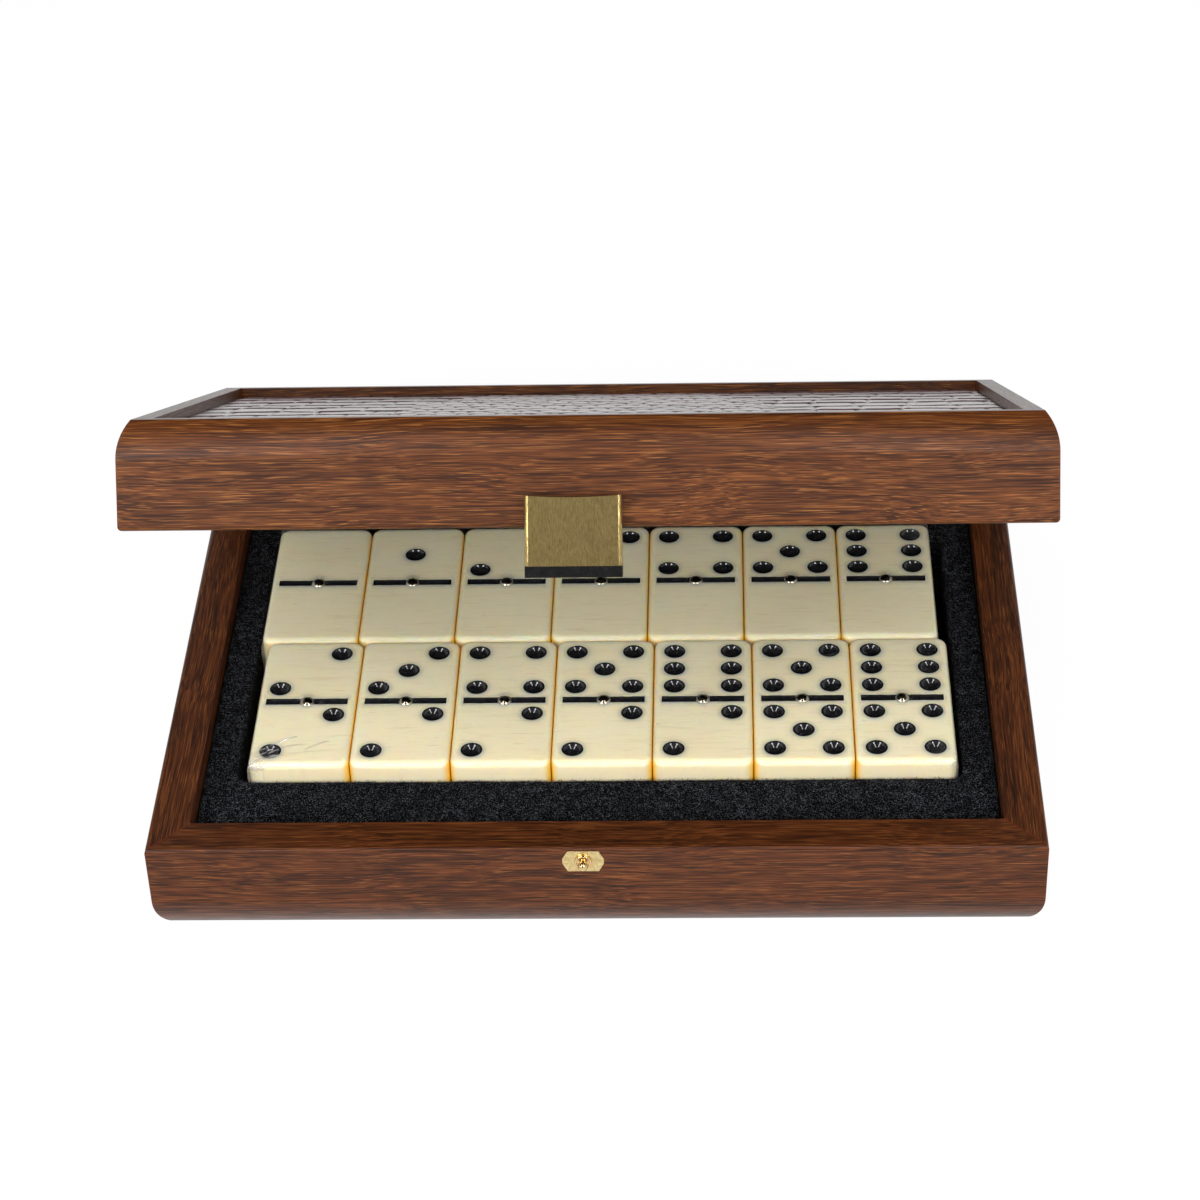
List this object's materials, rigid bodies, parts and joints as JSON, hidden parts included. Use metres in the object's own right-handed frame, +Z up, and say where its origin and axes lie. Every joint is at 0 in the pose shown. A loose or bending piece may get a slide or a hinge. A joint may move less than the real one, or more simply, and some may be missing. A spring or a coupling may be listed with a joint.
{
  "type": "domino storage box",
  "caption": "Hinged wooden case with a leather-topped lid, a snap clasp and a foam tray that holds a set of dominoes in two layers.",
  "frame": {"origin": "middle of the base's underside, on the surface the case stands on", "axes": "+X along the case's length to the right, +Y from the clasp side to the hinge side, +Z up"},
  "size_m": [0.24, 0.1854, 0.1386],
  "materials": {
    "ivory_resin": "glossy cast resin, cream, with faint pearly streaks and glossy black pips",
    "lid_wood": "satin varnished red-brown walnut, straight grain",
    "base_wood": "satin varnished dark walnut, straight grain",
    "board_wood": "satin board",
    "black_foam": "flocked black foam with a fine pale fleck",
    "black_felt": "black felt",
    "embossed_leather": "embossed scale grain, purple-brown with a pale sheen",
    "clear_film": "clear glossy film",
    "brushed_brass": "brushed, pale",
    "pale_brass": "stamped, satin",
    "stud_brass": "polished",
    "pin_brass": "polished",
    "hinge_brass": "polished",
    "black_plastic": "satin black",
    "spring_steel": "bright"
  },
  "bodies": {
    "base": {"ball_stud": "stud_brass", "base_back_rail": "base_wood", "base_front_rail": "base_wood", "base_hinge_screws": "hinge_brass", "base_left_rail": "base_wood", "base_right_rail": "base_wood", "bottom_board": "board_wood", "domino_0_0": "ivory_resin", "domino_1_0": "ivory_resin", "domino_1_1": "ivory_resin", "domino_2_0": "ivory_resin", "domino_2_1": "ivory_resin", "domino_2_2": "ivory_resin", "domino_3_0": "ivory_resin", "domino_3_1": "ivory_resin", "domino_3_2": "ivory_resin", "domino_3_3": "ivory_resin", "domino_4_0": "ivory_resin", "domino_4_1": "ivory_resin", "domino_4_2": "ivory_resin", "domino_4_3": "ivory_resin", "domino_4_4": "ivory_resin", "domino_5_0": "ivory_resin", "domino_5_1": "ivory_resin", "domino_5_2": "ivory_resin", "domino_5_3": "ivory_resin", "domino_5_4": "ivory_resin", "domino_5_5": "ivory_resin", "domino_6_0": "ivory_resin", "domino_6_1": "ivory_resin", "domino_6_2": "ivory_resin", "domino_6_3": "ivory_resin", "domino_6_4": "ivory_resin", "domino_6_5": "ivory_resin", "domino_6_6": "ivory_resin", "foam_tray": "black_foam", "left_hinge_base_leaf": "hinge_brass", "left_hinge_pin": "hinge_brass", "lower_spinner_pins": "pin_brass", "right_hinge_base_leaf": "hinge_brass", "right_hinge_pin": "hinge_brass", "shrink_wrap": "clear_film", "stud_plate": "pale_brass", "upper_spinner_pins": "pin_brass", "well_felt": "black_felt"},
    "lid": {"lid_front_rail": "lid_wood", "lid_back_rail": "lid_wood", "lid_left_rail": "lid_wood", "lid_right_rail": "lid_wood", "lid_board": "board_wood", "lid_leather": "embossed_leather", "lid_foam_pad": "black_foam", "clasp_plate": "brushed_brass", "clasp_block": "black_plastic", "clasp_spring": "spring_steel", "clasp_screws": "spring_steel", "left_hinge_lid_leaf": "hinge_brass", "right_hinge_lid_leaf": "hinge_brass", "lid_hinge_screws": "hinge_brass"}
  },
  "joints": [
    {"name": "lid_hinge", "type": "hinge", "parent": "base", "child": "lid", "pos_m": [0, 0.08695, 0.02855], "axis": [-1, 0, 0], "range_deg": [-30.5, 149.5]}
  ]
}
